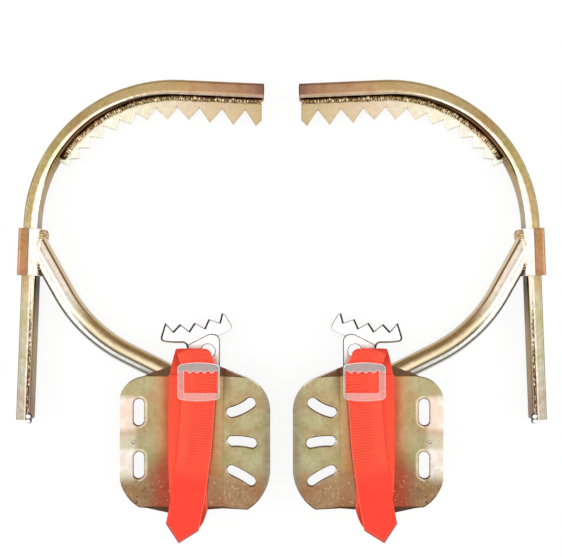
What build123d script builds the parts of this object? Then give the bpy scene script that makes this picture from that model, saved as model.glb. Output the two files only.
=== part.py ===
from build123d import *
import os
from math import cos, degrees, radians, sin, tan

# A pair of hook climbers for trees, lying side by side with the hooks flat.
# Millimetres. X runs across the pair, Y from the heels to the hooks, and Z up from the surface they lie on.
# The left climber is modelled, and the right one is its mirror image.

# Hook: a square tube with one bend between a long leg and a toothed bar
TUBE = 17.0
TUBE_WALL = 2.0
TUBE_ROUND = 4.0
MID_Z = 12.4              # height of the hook's middle plane
BEND_X = -124.5           # centre of the bend
BEND_Y = 92.9
BEND_R = 164.6            # to the middle line of the tube
BAR_LENGTH = 96.6
BAR_DROOP = 2.6           # degrees
LEG_LENGTH = 225.0
LEG_LEAN = 2.2            # degrees

# Toothed rail on the inside of the hook, with teeth that grow towards its tip
RAIL_T = 4.0
RAIL_DROP = 1.5           # below the middle plane of the tube
RAIL_TIP_END = 94.5       # along the hook from the start of the straight bar
RAIL_BEND_END = -178.0
ROOT_GAP = 0.05
TOOTH_TIPS = (            # along the hook, and the depth inside the tube's middle line
    (89.0, 38.7), (62.5, 38.7), (35.0, 37.8), (10.5, 35.1), (-18.0, 35.1), (-47.5, 32.2),
    (-72.5, 30.8), (-95.5, 29.5), (-117.5, 28.0), (-140.0, 26.8), (-160.5, 25.5), (-176.0, 20.8),
)
VALLEY_DEEP = 20.9
VALLEY_SHALLOW = 17.9
VALLEY_CHANGE = -90.0     # along the hook, where the valleys get shallower
END_TOOTH_FLAT = 31.7     # depth where the tip end of the rail turns to its first tooth
TOOTH_EDGE = 0.6
RAIL_WELD = (6.0, 3.9)    # across the rail and up the tube
UNDER_WELD = (2.6, 1.0)   # the same below the rail

# Drops of weld at the foot of the leg, which stop it at the collar
DROP_R = 3.4
DROP_ALONG = (4.4, -1.0)  # up the leg from its foot
DROP_IN = 1.4             # middle of a drop, in from the leg's faces

# Collar that the leg slides through
COLLAR = 24.8
COLLAR_ROUND = 5.0
COLLAR_LENGTH = 54.0
COLLAR_EDGE = 0.6
COLLAR_BELOW = 5.0        # from the start of the bend to its upper end
SLIDE_GAP = 0.3

# Arm: a round tube with one bend
ARM_R = 12.2
ARM_WALL = 2.0
ARM_KNEE = (-226.9, -26.5)
ARM_STEEP = 61.1          # degrees below X, from the collar to the knee
ARM_SHALLOW = 26.6        # degrees below X, from the knee on
ARM_BEND_R = 172.0
ARM_ALONG = 174.0         # from the knee to the end under the pedal
COLLAR_BEAD_R = 2.4
COLLAR_BEAD_TRIM = 0.3    # how far the bead stays inside the collar's upper and lower faces

# Pedal: pressed sheet with two wings and two lips
SHEET = 2.5
PANEL_Z = 25.3                    # underside of the panel, just above the arm
PANEL_X = (-153.0, -66.5)         # the two long bends
PEDAL_X = (-181.0, -12.5)         # the two side edges
CREASE_Y = (-222.0, -74.5)        # rear and front creases
WING_RISE = 18.0                  # degrees
WING_BEND_R = 8.0
LIP_FALL = 20.0                   # degrees
LIP_REACH = 18.0
FRONT_LIP_X = (-157.5, -127.0, -73.5, -38.0)
FRONT_LIP_Y = -63.0
REAR_LIP = ((-82.0, -226.0), (-127.0, -231.0))
REAR_LIP_X = (-161.0, -38.0)
OUTER_SIDE_Y = (-189.0, -97.0)    # straight part of the outer edge
INNER_SIDE_Y = (-178.0, -111.0)   # straight part of the inner edge
OUTER_CORNER = ((-174.5, -206.5), (-173.0, -81.0))
INNER_CORNER = ((-20.5, -202.5), (-21.0, -86.0))
SLOT_W = 11.0
WING_SLOTS = (                    # ends of each slot's middle line, and its middle where it curves
    ((-161.5, -124.0), (-161.5, -105.0)),
    ((-161.5, -184.0), (-161.5, -165.0)),
    ((-56.8, -114.6), (-44.9, -109.6), (-34.4, -102.2)),
    ((-56.0, -147.0), (-44.6, -146.2), (-33.2, -147.0)),
    ((-56.1, -179.9), (-44.9, -184.0), (-34.4, -189.4)),
)
SLOT_EDGE = 0.8
VENT = (-167.0, -148.0)
VENT_R = 1.25
STRAP_SLOT = (42.0, 7.0)
STRAP_SLOT_Y = (-188.0, -126.0)
ARM_CLEAR = 0.25                  # round the arm, where the front lip is hollowed over it
REAR_WELD = (6.0, 70.0)           # start and end of each weld, back from the end of the arm
FRONT_WELD = (6.0, 30.0)
PEDAL_WELD = ((0.35, 0.0), (1.05, 0.0), (0.78, 0.41))   # across and below the panel, in arm radii

# Claw bracket and claw
BRACKET_T = 4.0
BRACKET_TOP = 16.5
BRACKET_X = (-108.0, -71.5)
BRACKET_FRONT_Y = -28.0
BRACKET_NOTCH = (-84.5, -40.0)    # where the slanted front edge starts and ends
BRACKET_ROUND = 7.5
BRACKET_GAP = 0.1                 # between the bracket and the arm
BRACKET_WELD_SHORT = 4.0          # how much shorter the weld is than the bracket is wide
WELD_BITE = 1.0                   # how far the weld's section starts inside the arm
BRACKET_WELD = 3.6
LANYARD_HOLE = (-84.9, -47.0)
LANYARD_R = 8.0
PLATE_EDGE = 0.6
CLAW_T = 5.0
CLAW_CENTRE = (-119.5, 87.5)      # middle of the trunk that the claw's teeth go round
CLAW_TIP_R = 104.0
CLAW_VALLEY_R = 113.0
CLAW_BACK_R = 126.0
CLAW_TEETH = 5
CLAW_FIRST = -9.0                 # degrees from -Y about the claw's centre
CLAW_PITCH = 9.4
CLAW_FLANK = 5.3                  # degrees from a tip to the valley after it
CLAW_ENDS = (-10.4, 30.0)
CLAW_SHOULDER = 4.0               # how far the right end stands back from the tips
CLAW_END_ROUND = 5.0
CLAW_EDGE = (2.4, 1.8)            # bevel ground on the steep flanks: across the top, down the flank
STEM_X = (-110.5, -93.0)
STEM_END_Y = -66.0
STEM_ROUND = 5.0
CLAW_WELD_Y = (-47.0, -65.0)

# Strap and buckle
WEB_W = 38.0
WEB_T = 1.8
RETURN_X = -111.0                 # middle of the upper layer on the pedal
BACK_X = -104.0                   # middle of the layer under it
FRONT_X = -97.0                   # middle of the layer from the front fold to the buckle
BUCKLE_X = -92.8
TAIL_X = -94.3                    # middle of the tail where it leaves the buckle
TAIL_R = 652.0                    # the tail lies in a slight curve
TAIL_SWEEP = 13.2                 # degrees
TAIL_POINT = 18.5                 # length of the pointed end
LAYER_GAP = 0.3                   # between layers, and from the lowest one to the pedal
UNDER_Z = 23.2                    # middle of the run under the panel
FOLD_Y = (-240.5, -44.5)          # outside of the rear and front folds
FOLD_RISE = 1.6                   # how far the front fold stands above the layer in the buckle
BUCKLE = (46.8, 37.6)
BUCKLE_BOW = (3.0, 2.6)           # how far the front and rear bars bow out
BUCKLE_MID_Y = -79.1
BUCKLE_H = 6.7
BUCKLE_ROUND = 5.0
BUCKLE_EDGE = 0.9
BUCKLE_BAR_T = 3.5
WINDOW = (38.2, 25.4)
WINDOW_SHIFT = 2.7                # towards the inner side, which leaves a thin inner bar
CROSSBAR = (6.0, 1.7)             # width and thickness of the hidden middle bar
BUCKLE_TEETH = 4
BUCKLE_TOOTH = (8.2, 3.0)         # pitch and height

MOVE_Y = -2.75                    # brings the middle of the whole pair to Y = 0


def heading(angle):
    """Unit vector in the flat, an angle in degrees from +X."""
    return Vector(cos(radians(angle)), sin(radians(angle)))


BEND = Vector(BEND_X, BEND_Y)
BAR_DIR = heading(-BAR_DROOP)
BAR_OUT = heading(90 - BAR_DROOP)
LEG_DIR = heading(270 - LEG_LEAN)
LEG_OUT = heading(180 - LEG_LEAN)
LEG_TOP = BEND + LEG_OUT * BEND_R
UP = Vector(0, 0, 1)


def at_height(point, z):
    """The same point in the flat, at a height."""
    return Vector(point.X, point.Y, z)


def hook_point(along, depth, z):
    """Point at a distance along the hook from the start of its bar, and a depth inside its middle line."""
    if along >= 0:
        return at_height(BEND + BAR_OUT * (BEND_R - depth) + BAR_DIR * along, z)
    turn = 90 - BAR_DROOP - degrees(along / BEND_R)
    return at_height(BEND + heading(turn) * (BEND_R - depth), z)


def hook_line(start, end, depth, z):
    """Path along the hook at a depth inside its middle line: part of the bend, then part of the bar."""
    bend_start = hook_point(start, depth, z)
    bar_start = hook_point(0, depth, z)
    bend = ThreePointArc(bend_start, hook_point(start / 2, depth, z), bar_start)
    return Wire([bend, Line(bar_start, hook_point(end, depth, z))])


def hook_bar():
    """Square tube swept up the leg, round the bend and along the bar."""
    bend_length = -BEND_R * radians(90 - LEG_LEAN + BAR_DROOP)
    foot = at_height(LEG_TOP + LEG_DIR * LEG_LENGTH, MID_Z)
    leg_top = at_height(LEG_TOP, MID_Z)
    path = Wire([Line(foot, leg_top)] + list(hook_line(bend_length, BAR_LENGTH, 0, MID_Z).edges()))
    section = Plane(foot, x_dir=LEG_OUT, z_dir=-LEG_DIR)
    bore = TUBE - 2 * TUBE_WALL
    outside = sweep(section * RectangleRounded(TUBE, TUBE, TUBE_ROUND), path)
    inside = sweep(section * RectangleRounded(bore, bore, TUBE_ROUND - TUBE_WALL), path)
    return outside - inside


def leg_stop():
    """Two drops of weld run together on the upper inner corner of the leg, at its foot."""
    foot = LEG_TOP + LEG_DIR * (LEG_LENGTH + ROOT_GAP)
    width = TUBE + 2 * ROOT_GAP
    section = Plane(at_height(foot, MID_Z), x_dir=LEG_OUT, z_dir=-LEG_DIR)
    leg = extrude(section * RectangleRounded(width, width, TUBE_ROUND + ROOT_GAP), amount=COLLAR_LENGTH)
    corner = foot - LEG_OUT * (TUBE / 2 - DROP_IN)
    drops = [
        Pos(at_height(corner - LEG_DIR * up, MID_Z + TUBE / 2 - DROP_IN)) * Sphere(DROP_R)
        for up in DROP_ALONG
    ]
    return drops[0] + drops[1] - leg


def valley_depth(along):
    """Depth of a valley between teeth, which gets shallower towards the leg."""
    return VALLEY_DEEP if along > VALLEY_CHANGE else VALLEY_SHALLOW


def tooth_rail():
    """Flat strip whose root follows the inside of the tube and whose other edge is a row of teeth."""
    root = TUBE / 2 + ROOT_GAP
    low = MID_Z - RAIL_DROP - RAIL_T / 2
    teeth = [hook_point(RAIL_TIP_END, root, low), hook_point(RAIL_TIP_END + 1, END_TOOTH_FLAT, low)]
    for (tip, depth), following in zip(TOOTH_TIPS, TOOTH_TIPS[1:] + (None,)):
        teeth.append(hook_point(tip, depth, low))
        if following is not None:
            valley = (tip + following[0]) / 2
            teeth.append(hook_point(valley, valley_depth(valley), low))
    teeth.append(hook_point(RAIL_BEND_END, root, low))
    outline = hook_line(RAIL_BEND_END, RAIL_TIP_END, root, low).edges() + Polyline(*teeth).edges()
    rail = extrude(make_face(outline), amount=RAIL_T, dir=UP)
    flanks = []
    for edge in rail.edges().filter_by(GeomType.LINE):
        middle = edge @ 0.5
        level = abs((edge % 0.5).Z) < 0.01
        on_root = (middle - hook_point(RAIL_TIP_END / 2, root, middle.Z)).length < 0.5
        if level and not on_root:
            flanks.append(edge)
    return chamfer(flanks, TOOTH_EDGE)


def rail_welds():
    """Fillet welds with a three-cornered section in the two corners between the rail and the tube."""
    depth = TUBE / 2 + ROOT_GAP
    start = RAIL_BEND_END + RAIL_WELD[1]
    welds = []
    for side, (across, up) in ((1, RAIL_WELD), (-1, UNDER_WELD)):
        z = MID_Z - RAIL_DROP + side * (RAIL_T / 2 + ROOT_GAP)
        path = hook_line(start, RAIL_TIP_END - 1, depth, z)
        corner = hook_point(start, depth, z)
        inward = (at_height(BEND, z) - corner).normalized()
        along = path % 0
        flat = Plane(corner, x_dir=inward, z_dir=along)
        rise = side * up * (1 if flat.y_dir.Z > 0 else -1)
        section = flat * make_face(Polyline((0, 0), (across, 0), (0, rise), close=True))
        welds.append(sweep(section, path))
    return welds


def collar():
    """Square sleeve round the leg, just below the bend."""
    start = Plane(at_height(LEG_TOP + LEG_DIR * COLLAR_BELOW, MID_Z), x_dir=LEG_OUT, z_dir=LEG_DIR)
    way = TUBE + 2 * SLIDE_GAP
    ring = RectangleRounded(COLLAR, COLLAR, COLLAR_ROUND) - RectangleRounded(way, way, TUBE_ROUND + SLIDE_GAP)
    sleeve = extrude(start * ring, amount=COLLAR_LENGTH)
    ends = sleeve.faces().filter_by(lambda face: abs(face.normal_at().dot(LEG_DIR)) > 0.99)
    return chamfer([edge for face in ends for edge in face.outer_wire().edges()], COLLAR_EDGE)


ARM_TOP_DIR = heading(180 - ARM_STEEP)
ARM_END_DIR = heading(-ARM_SHALLOW)
KNEE = Vector(*ARM_KNEE, MID_Z)
COLLAR_FACE = LEG_TOP - LEG_OUT * (COLLAR / 2)      # on the collar's inner side
ARM_UP = (COLLAR_FACE - at_height(KNEE, 0)).dot(LEG_OUT) / ARM_TOP_DIR.dot(LEG_OUT)
ARM_FOOT = KNEE + ARM_TOP_DIR * ARM_UP              # where the arm's middle line meets the collar
ARM_END = KNEE + ARM_END_DIR * ARM_ALONG


def collar_block():
    """Solid bar with the collar's outline, along the leg and past both ends of the collar."""
    start = Plane(at_height(LEG_TOP - LEG_DIR * COLLAR_LENGTH, MID_Z), x_dir=LEG_OUT, z_dir=LEG_DIR)
    width = COLLAR + 2 * ROOT_GAP
    return extrude(start * RectangleRounded(width, width, COLLAR_ROUND + ROOT_GAP), amount=3 * COLLAR_LENGTH)


def arm_solid(radius):
    """Round bar along the arm, its top end hollowed to the side of the collar."""
    inside = COLLAR / 2 / ARM_TOP_DIR.dot(LEG_OUT)
    path = FilletPolyline(ARM_FOOT + ARM_TOP_DIR * inside, KNEE, ARM_END, radius=ARM_BEND_R)
    start = Plane(path @ 0, z_dir=path % 0)
    return sweep(start * Circle(radius), path) - collar_block()


def arm_tube():
    """Round tube from the collar to the middle of the pedal."""
    return arm_solid(ARM_R) - arm_solid(ARM_R - ARM_WALL)


def collar_weld():
    """Bead along the oval where the arm meets the collar, level with the collar above and below."""
    side = Plane(ARM_FOOT, x_dir=LEG_DIR, z_dir=LEG_OUT)
    slant = -ARM_TOP_DIR.dot(LEG_OUT)
    oval = side * Ellipse(ARM_R / abs(slant), ARM_R)
    path = oval.edges()[0]
    bead = sweep(Plane(path @ 0, z_dir=path % 0) * Circle(COLLAR_BEAD_R), path)
    room = Pos(ARM_FOOT) * Box(8 * ARM_R, 8 * ARM_R, COLLAR - 2 * COLLAR_BEAD_TRIM)
    return (bead & room) - collar_block() - arm_solid(ARM_R)


def pedal_section(y):
    """Section of the pressed sheet across the pedal: wing, panel, wing."""
    middle = PANEL_Z + SHEET / 2
    rise = tan(radians(WING_RISE))
    points = [
        (PEDAL_X[0] - SHEET, middle + rise * (PANEL_X[0] - PEDAL_X[0] + SHEET)),
        (PANEL_X[0], middle),
        (PANEL_X[1], middle),
        (PEDAL_X[1] + SHEET, middle + rise * (PEDAL_X[1] - PANEL_X[1] + SHEET)),
    ]
    line = FilletPolyline(*points, radius=WING_BEND_R)
    sheet = make_face(offset(line, amount=SHEET / 2, kind=Kind.INTERSECTION, side=Side.BOTH).edges())
    return Plane((0, y, 0), x_dir=(1, 0, 0), z_dir=(0, -1, 0)) * sheet


def pedal_outline():
    """Outline of the pedal seen from above, with its rounded corners and the two lips."""
    rear, front = CREASE_Y
    outer, inner = PEDAL_X
    lip = FRONT_LIP_X
    lines = [
        Line((outer, OUTER_SIDE_Y[0]), (outer, OUTER_SIDE_Y[1])),
        ThreePointArc((outer, OUTER_SIDE_Y[1]), OUTER_CORNER[1], (lip[0], front)),
        Polyline((lip[0], front), (lip[1], FRONT_LIP_Y), (lip[2], FRONT_LIP_Y), (lip[3], front)),
        ThreePointArc((lip[3], front), INNER_CORNER[1], (inner, INNER_SIDE_Y[1])),
        Line((inner, INNER_SIDE_Y[1]), (inner, INNER_SIDE_Y[0])),
        ThreePointArc((inner, INNER_SIDE_Y[0]), INNER_CORNER[0], (REAR_LIP_X[1], rear)),
        Polyline((REAR_LIP_X[1], rear), *REAR_LIP, (REAR_LIP_X[0], rear)),
        ThreePointArc((REAR_LIP_X[0], rear), OUTER_CORNER[0], (outer, OUTER_SIDE_Y[0])),
    ]
    return make_face([edge for line in lines for edge in line.edges()])


def pedal_cuts():
    """Slots for straps in the wings and the panel, and the small vent hole, as shapes seen from above."""
    cuts = []
    for line in WING_SLOTS:
        if len(line) == 2:
            middle = (Vector(*line[0]) + Vector(*line[1])) / 2
            length = line[1][1] - line[0][1]
            cuts.append(Pos(middle) * Rot(0, 0, 90) * SlotCenterToCenter(length, SLOT_W))
        else:
            cuts.append(SlotArc(ThreePointArc(*line), SLOT_W))
    cuts += [Pos(BACK_X, y) * SlotOverall(*STRAP_SLOT) for y in STRAP_SLOT_Y]
    cuts.append(Pos(*VENT) * Circle(VENT_R))
    return cuts


def distance_to_slot(point, line):
    """Distance in the flat from a point to the nearest given point of a slot's middle line."""
    return min((at_height(point, 0) - Vector(*place)).length for place in line)


def panel_top(x):
    """Height of the pedal's upper face at a place across it."""
    past = max(PANEL_X[0] - x, x - PANEL_X[1])
    if past < 0:
        return PANEL_Z + SHEET
    rise = radians(WING_RISE)
    return PANEL_Z + SHEET / 2 + past * tan(rise) + SHEET / 2 / cos(rise)


def pedal_plate():
    """Sheet carried along the pedal, with both ends turned down, trimmed to its outline and slotted."""
    rear, front = CREASE_Y
    down = -sin(radians(LIP_FALL))
    out = cos(radians(LIP_FALL))
    sheet = extrude(pedal_section(front), amount=front - rear)
    sheet += extrude(pedal_section(front), amount=LIP_REACH, dir=(0, out, down))
    sheet += extrude(pedal_section(rear), amount=LIP_REACH, dir=(0, -out, down))
    tall = 3 * PANEL_Z
    sheet &= extrude(pedal_outline(), amount=tall)
    sheet -= arm_solid(ARM_R + ARM_CLEAR)
    for cut in pedal_cuts():
        sheet -= extrude(cut, amount=tall)
    rims = []
    for edge in sheet.edges():
        middle = edge @ 0.5
        on_top = abs(middle.Z - panel_top(middle.X)) < 0.02
        near_slot = min(distance_to_slot(middle, line) for line in WING_SLOTS) < SLOT_W
        if on_top and near_slot:
            rims.append(edge)
    return chamfer(rims, SLOT_EDGE)


def pedal_weld(side, start, end):
    """Weld with a three-cornered section beside the arm, under the panel, cut to the arm's round side."""
    centre = ARM_END - ARM_END_DIR * start
    flat = Plane(centre, x_dir=heading(90 - ARM_SHALLOW), z_dir=-ARM_END_DIR)
    up = 1 if flat.y_dir.Z > 0 else -1
    top = PANEL_Z - ROOT_GAP - MID_Z
    corners = [(side * across * ARM_R, up * (top - drop * ARM_R)) for across, drop in PEDAL_WELD]
    bead = extrude(flat * make_face(Polyline(*corners, close=True)), amount=end - start)
    return bead - arm_solid(ARM_R + ROOT_GAP)


def pedal_welds():
    """Fillet welds in the two corners between the arm and the underside of the pedal's panel."""
    return [pedal_weld(-1, *REAR_WELD), pedal_weld(1, *FRONT_WELD)]


def claw_bracket():
    """Flat tab in front of the pedal with a slanted front edge and a round hole, butted against the arm."""
    left, right = BRACKET_X
    reach = ARM_R + BRACKET_GAP
    along = [(x - KNEE.X) / ARM_END_DIR.X for x in BRACKET_X]
    back = [KNEE.Y + ARM_END_DIR.Y * a + reach / ARM_END_DIR.X for a in along]
    corners = [(left, back[0]), (left, BRACKET_NOTCH[1]), (BRACKET_NOTCH[0], BRACKET_FRONT_Y)]
    corners += [(right, BRACKET_FRONT_Y), (right, back[1])]
    tab = make_face(Polyline(*corners, close=True))
    right_corner = [v for v in tab.vertices() if abs(v.X - right) < 0.1 and abs(v.Y - BRACKET_FRONT_Y) < 0.1]
    tab = fillet(right_corner, BRACKET_ROUND)
    tab -= Pos(*LANYARD_HOLE) * Circle(LANYARD_R)
    plate = Pos(0, 0, BRACKET_TOP - BRACKET_T) * extrude(tab, amount=BRACKET_T)
    return chamfer(plate.faces().sort_by(Axis.Z)[-1].edges(), PLATE_EDGE)


def claw_point(angle, radius):
    """Point at an angle from -Y about the claw's centre."""
    return Vector(*CLAW_CENTRE) + heading(angle - 90) * radius


def claw():
    """Curved comb whose tips and back follow circles round the trunk, with a straight stem."""
    teeth = []
    for tooth in range(CLAW_TEETH):
        tip = CLAW_FIRST + tooth * CLAW_PITCH
        teeth.append(claw_point(tip, CLAW_TIP_R))
        if tooth < CLAW_TEETH - 1:
            teeth.append(claw_point(tip + CLAW_FLANK, CLAW_VALLEY_R))
    first, last = CLAW_ENDS
    right_shoulder = claw_point(last, CLAW_TIP_R + CLAW_SHOULDER)
    left_back = claw_point(first, CLAW_BACK_R)
    right_back = claw_point(last, CLAW_BACK_R)
    back = ThreePointArc(left_back, claw_point((first + last) / 2, CLAW_BACK_R), right_back)
    outline = Polyline(left_back, *teeth, right_shoulder, right_back).edges() + back.edges()
    comb = make_face(outline)
    comb = fillet([v for v in comb.vertices() if (v.center() - left_back).length < 0.1], CLAW_END_ROUND)
    comb = fillet([v for v in comb.vertices() if (v.center() - right_back).length < 0.1], CLAW_END_ROUND)
    stem_top = CLAW_CENTRE[1] - CLAW_BACK_R + CLAW_END_ROUND
    stem_mid = sum(STEM_X) / 2
    stem = Rectangle(STEM_X[1] - STEM_X[0], stem_top - STEM_END_Y)
    shape = comb + Pos(stem_mid, (stem_top + STEM_END_Y) / 2) * stem
    inside = [v for v in shape.vertices() if abs(v.X - STEM_X[0]) < 0.1 and v.Y > STEM_END_Y + 1]
    inside += [v for v in shape.vertices() if abs(v.X - STEM_X[1]) < 0.1 and v.Y > STEM_END_Y + 1]
    shape = fillet(inside, STEM_ROUND)
    low = BRACKET_TOP - BRACKET_T - CLAW_T
    plate = Pos(0, 0, low) * extrude(shape, amount=CLAW_T)
    steep = []
    for edge in plate.edges().filter_by(GeomType.LINE):
        middle = edge @ 0.5
        turn = edge % 0.5
        on_top = abs(middle.Z - low - CLAW_T) < 0.01 and abs(turn.Z) < 0.01
        from_centre = (at_height(middle, 0) - Vector(*CLAW_CENTRE)).length
        leans_left = turn.X * turn.Y > 0
        if on_top and leans_left and CLAW_TIP_R < from_centre < CLAW_VALLEY_R:
            steep.append(edge)
    return chamfer(steep, CLAW_EDGE[1], CLAW_EDGE[0])


def claw_weld():
    """Fillet weld on the claw's stem along the edge of the bracket."""
    top = BRACKET_TOP - BRACKET_T + ROOT_GAP
    leg = BRACKET_X[0] - STEM_X[0] - ROOT_GAP
    flat = Plane((BRACKET_X[0] - ROOT_GAP, CLAW_WELD_Y[0], top), x_dir=(-1, 0, 0), z_dir=(0, -1, 0))
    rise = leg if flat.y_dir.Z > 0 else -leg
    section = flat * make_face(Polyline((0, 0), (leg, 0), (0, rise), close=True))
    return extrude(section, amount=CLAW_WELD_Y[0] - CLAW_WELD_Y[1])


def bracket_weld():
    """Fillet weld under the bracket along the side of the arm."""
    reach = (BRACKET_X[1] - BRACKET_X[0]) / ARM_END_DIR.X - BRACKET_WELD_SHORT
    middle = sum(BRACKET_X) / 2
    centre = KNEE + ARM_END_DIR * ((middle - KNEE.X) / ARM_END_DIR.X)
    flat = Plane(centre, x_dir=heading(90 - ARM_SHALLOW), z_dir=ARM_END_DIR)
    up = 1 if flat.y_dir.Z > 0 else -1
    foot = BRACKET_TOP - BRACKET_T - ROOT_GAP - MID_Z
    inner = ARM_R - WELD_BITE
    corners = [(inner, up * foot), (ARM_R + BRACKET_WELD, up * foot), (inner, up * (foot - BRACKET_WELD))]
    bead = extrude(flat * make_face(Polyline(*corners, close=True)), amount=reach / 2, both=True)
    return bead - arm_solid(ARM_R + ROOT_GAP)


BACK_Z = PANEL_Z + SHEET + LAYER_GAP + WEB_T / 2     # middle of each layer of the strap
RETURN_Z = BACK_Z + WEB_T + LAYER_GAP
BUCKLE_LOW = RETURN_Z + WEB_T / 2 + LAYER_GAP
BAR_Z = BUCKLE_LOW + BUCKLE_H - BUCKLE_BAR_T         # underside of the buckle's two outer bars
TAIL_Z = BAR_Z - LAYER_GAP - WEB_T / 2
OVER_Z = BUCKLE_LOW + CROSSBAR[1] + LAYER_GAP + WEB_T / 2
TIGHT = (RETURN_Z - BACK_Z) / 2 - 0.01               # radius of the folds' middle line


def band(points, middle_x):
    """Webbing along a line of (y, z) points with rounded corners, its middle at a place across the pedal."""
    line = FilletPolyline(*points, radius=TIGHT)
    edge_on = make_face(offset(line, amount=WEB_T / 2, kind=Kind.INTERSECTION, side=Side.BOTH).edges())
    flat = Plane((middle_x, 0, 0), x_dir=(0, 1, 0), z_dir=(1, 0, 0))
    return extrude(flat * edge_on, amount=WEB_W / 2, both=True)


def strap_tail():
    """Tail of the strap: a strip in a slight curve with a pointed end."""
    start_y = BUCKLE_MID_Y - WINDOW[1] / 2 - WEB_T
    centre = Vector(TAIL_X - TAIL_R, start_y, TAIL_Z - WEB_T / 2)

    def at(radius, turn):
        return centre + heading(-turn) * radius

    inner = TAIL_R - WEB_W / 2
    outer = TAIL_R + WEB_W / 2
    half = TAIL_SWEEP / 2
    tip = at(TAIL_R, TAIL_SWEEP) + heading(-90 - TAIL_SWEEP) * TAIL_POINT
    lines = [
        Line(at(inner, 0), at(outer, 0)),
        ThreePointArc(at(outer, 0), at(outer, half), at(outer, TAIL_SWEEP)),
        Polyline(at(outer, TAIL_SWEEP), tip, at(inner, TAIL_SWEEP)),
        ThreePointArc(at(inner, TAIL_SWEEP), at(inner, half), at(inner, 0)),
    ]
    return extrude(make_face([edge for line in lines for edge in line.edges()]), amount=WEB_T, dir=UP)


def strap():
    """One length of webbing: a flattened loop through the pedal, the layer in the buckle, and the tail."""
    rear_slot, front_slot = STRAP_SLOT_Y
    rear_fold = FOLD_Y[0] + WEB_T / 2
    front_fold = FOLD_Y[1] - WEB_T / 2
    fold_z = TAIL_Z + FOLD_RISE
    front_edge = BUCKLE_MID_Y + BUCKLE[1] / 2 + BUCKLE_BOW[0]
    front_bar = BUCKLE_MID_Y + WINDOW[1] / 2
    rear_bar = BUCKLE_MID_Y - WINDOW[1] / 2
    upper_layer = band(
        [(BUCKLE_MID_Y, RETURN_Z), (rear_fold, RETURN_Z), (rear_fold, BACK_Z), (rear_slot, BACK_Z)], RETURN_X)
    lower_layer = band(
        [
            (rear_slot - WEB_W, RETURN_Z),
            (rear_fold, RETURN_Z),
            (rear_fold, BACK_Z),
            (rear_slot, BACK_Z),
            (rear_slot, UNDER_Z),
            (front_slot, UNDER_Z),
            (front_slot, BACK_Z),
            (front_fold, BACK_Z),
            (front_fold, fold_z),
            (front_fold - 3 * WEB_T, fold_z),
        ],
        BACK_X,
    )
    front_layer = band(
        [
            (front_slot, BACK_Z),
            (front_fold, BACK_Z),
            (front_fold, fold_z),
            (front_fold - 3 * WEB_T, fold_z),
            (front_edge + WEB_T, TAIL_Z),
            (front_bar, TAIL_Z),
        ],
        FRONT_X,
    )
    in_buckle = band(
        [
            (front_bar + 2 * WEB_T, TAIL_Z),
            (front_bar - WEB_T, TAIL_Z),
            (BUCKLE_MID_Y + CROSSBAR[0] / 2, OVER_Z),
            (BUCKLE_MID_Y - CROSSBAR[0] / 2, OVER_Z),
            (rear_bar + WEB_T, TAIL_Z),
            (rear_bar - 2 * WEB_T, TAIL_Z),
        ],
        BUCKLE_X + WINDOW_SHIFT,
    )
    return upper_layer + lower_layer + front_layer + in_buckle + strap_tail()


def strap_buckle():
    """Moulded slide: a bowed frame round a window, teeth on its front bar and a low bar across the middle."""
    wide, high = BUCKLE
    outline = []
    for side, bow in zip((1, -1), BUCKLE_BOW):
        left_end = (-wide / 2, side * high / 2)
        right_end = (wide / 2, side * high / 2)
        outline += ThreePointArc(left_end, (0, side * (high / 2 + bow)), right_end).edges()
        outline += Line((side * wide / 2, -high / 2), (side * wide / 2, high / 2)).edges()
    frame = make_face(outline)
    frame = fillet(frame.vertices(), BUCKLE_ROUND)
    shift = Pos(WINDOW_SHIFT, 0)
    opening = shift * Rectangle(*WINDOW)
    window = opening
    pitch, height = BUCKLE_TOOTH
    edge = WINDOW[1] / 2
    for tooth in range(BUCKLE_TEETH):
        left = WINDOW_SHIFT + (tooth - BUCKLE_TEETH / 2) * pitch
        corners = [(left, edge), (left + pitch / 2, edge - height), (left + pitch, edge)]
        window -= make_face(Polyline(*corners, close=True))
    bars = Pos(0, 0, BUCKLE_H - BUCKLE_BAR_T) * extrude(frame - window, amount=BUCKLE_BAR_T)
    posts = Rectangle(wide, WINDOW[1] - 2 * WEB_T) - opening
    body = bars + extrude(posts, amount=BUCKLE_H)
    body += Pos(WINDOW_SHIFT, 0, CROSSBAR[1] / 2) * Box(WINDOW[0] + 1, *CROSSBAR)
    body = fillet(body.faces().sort_by(Axis.Z)[-1].outer_wire().edges(), BUCKLE_EDGE)
    return Pos(BUCKLE_X, BUCKLE_MID_Y, BUCKLE_LOW) * body


PIECES = {
    "hook_bar": hook_bar,
    "tooth_rail": tooth_rail,
    "rail_welds": rail_welds,
    "leg_stop": leg_stop,
    "collar": collar,
    "arm_tube": arm_tube,
    "collar_weld": collar_weld,
    "pedal_plate": pedal_plate,
    "pedal_welds": pedal_welds,
    "claw_bracket": claw_bracket,
    "bracket_weld": bracket_weld,
    "claw": claw,
    "claw_weld": claw_weld,
    "strap": strap,
    "strap_buckle": strap_buckle,
}


def solids_of(made):
    """All the solids in a piece, which may be a list."""
    parts = made if isinstance(made, list) else [made]
    return [solid for part in parts for solid in part.solids()]


os.makedirs("parts", exist_ok=True)
for name, make in PIECES.items():
    left = Compound([Pos(0, MOVE_Y, 0) * solid for solid in solids_of(make())])
    right = Compound([mirror(solid, about=Plane.YZ).solid() for solid in left.solids()])
    export_step(left, f"parts/left_{name}.step")
    export_step(right, f"parts/right_{name}.step")
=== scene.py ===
"""Webbing, weld beads, plating and a plain studio for a pair of hook climbers."""
from functools import partial
from types import SimpleNamespace

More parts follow.
